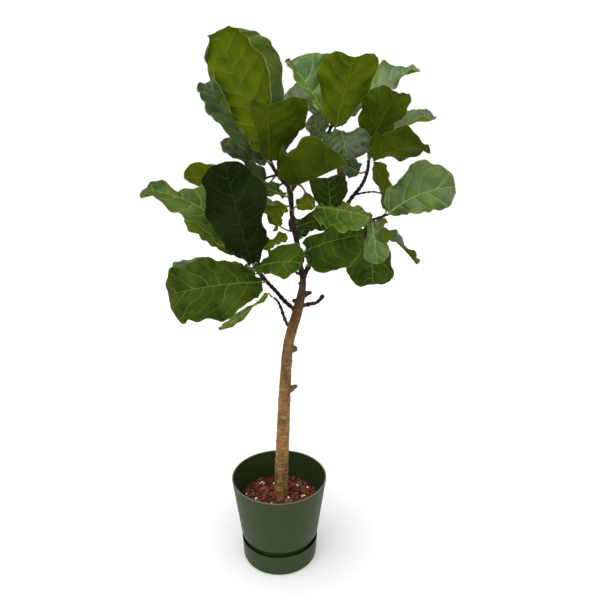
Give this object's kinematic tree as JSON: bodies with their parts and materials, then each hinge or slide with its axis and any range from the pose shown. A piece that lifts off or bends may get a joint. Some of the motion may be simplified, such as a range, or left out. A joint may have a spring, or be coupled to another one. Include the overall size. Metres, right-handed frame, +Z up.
{
  "type": "potted fiddle leaf fig",
  "caption": "Small indoor tree with a bare trunk and a crown of large wavy leaves, planted in a round plastic pot that stands in its saucer.",
  "frame": {"origin": "centre of the saucer's underside, on the floor, below the pot's axis", "axes": "+Z up along the pot's axis; +X and -X along the crown's widest spread, with the taller limb that leans away from the trunk on the +X side; -Y is the plant's front"},
  "size_m": [0.8259, 0.5114, 1.5486],
  "materials": {
    "pot_plastic": "satin, muted dark green",
    "potting_mix": "loose bark chips and clay grains with white perlite",
    "bark": "rough tan-brown bark, near-black on the young branches",
    "leaf": "leathery, glossy upper side, matt yellow-green underside"
  },
  "bodies": {
    "root": {"saucer": "pot_plastic", "pot": "pot_plastic", "soil": "potting_mix", "trunk_and_branches": "bark", "leaf_top_left_tall": "leaf", "leaf_upper_left_rear": "leaf", "leaf_upper_left_front": "leaf", "leaf_top_centre_rear": "leaf", "leaf_top_centre_left": "leaf", "leaf_top_centre_front": "leaf", "leaf_top_right_ruffled": "leaf", "leaf_upper_right_tall": "leaf", "leaf_upper_right_front": "leaf", "leaf_upper_right_outer": "leaf", "leaf_upper_centre_drooping": "leaf", "leaf_middle_folded": "leaf", "leaf_inner_upright": "leaf", "leaf_upper_centre_small": "leaf", "leaf_upper_left_low": "leaf", "leaf_left_front_upright": "leaf", "leaf_left_long": "leaf", "leaf_left_long_lower": "leaf", "leaf_left_rear": "leaf", "leaf_left_small_inner": "leaf", "leaf_lower_centre_front": "leaf", "leaf_lower_left_front": "leaf", "leaf_lower_left_rear": "leaf", "leaf_lowest_left": "leaf", "leaf_centre_front_broad": "leaf", "leaf_centre_front_right": "leaf", "leaf_right_narrow_upright": "leaf", "leaf_right_broad": "leaf", "leaf_right_hanging_front": "leaf", "leaf_right_hanging_rear": "leaf", "leaf_right_hanging_small": "leaf", "leaf_right_hanging_twisted": "leaf", "leaf_centre_right_upright": "leaf", "leaf_inner_right_small": "leaf", "leaf_inner_left_narrow": "leaf", "leaf_inner_left_drooping": "leaf", "leaf_upper_right_inner": "leaf", "leaf_back_upper_left": "leaf", "leaf_back_upper_centre": "leaf", "leaf_back_centre": "leaf", "leaf_back_left": "leaf", "leaf_back_upper_right": "leaf", "leaf_back_right": "leaf", "leaf_back_lower_left": "leaf", "leaf_inner_centre": "leaf"}
  },
  "joints": []
}
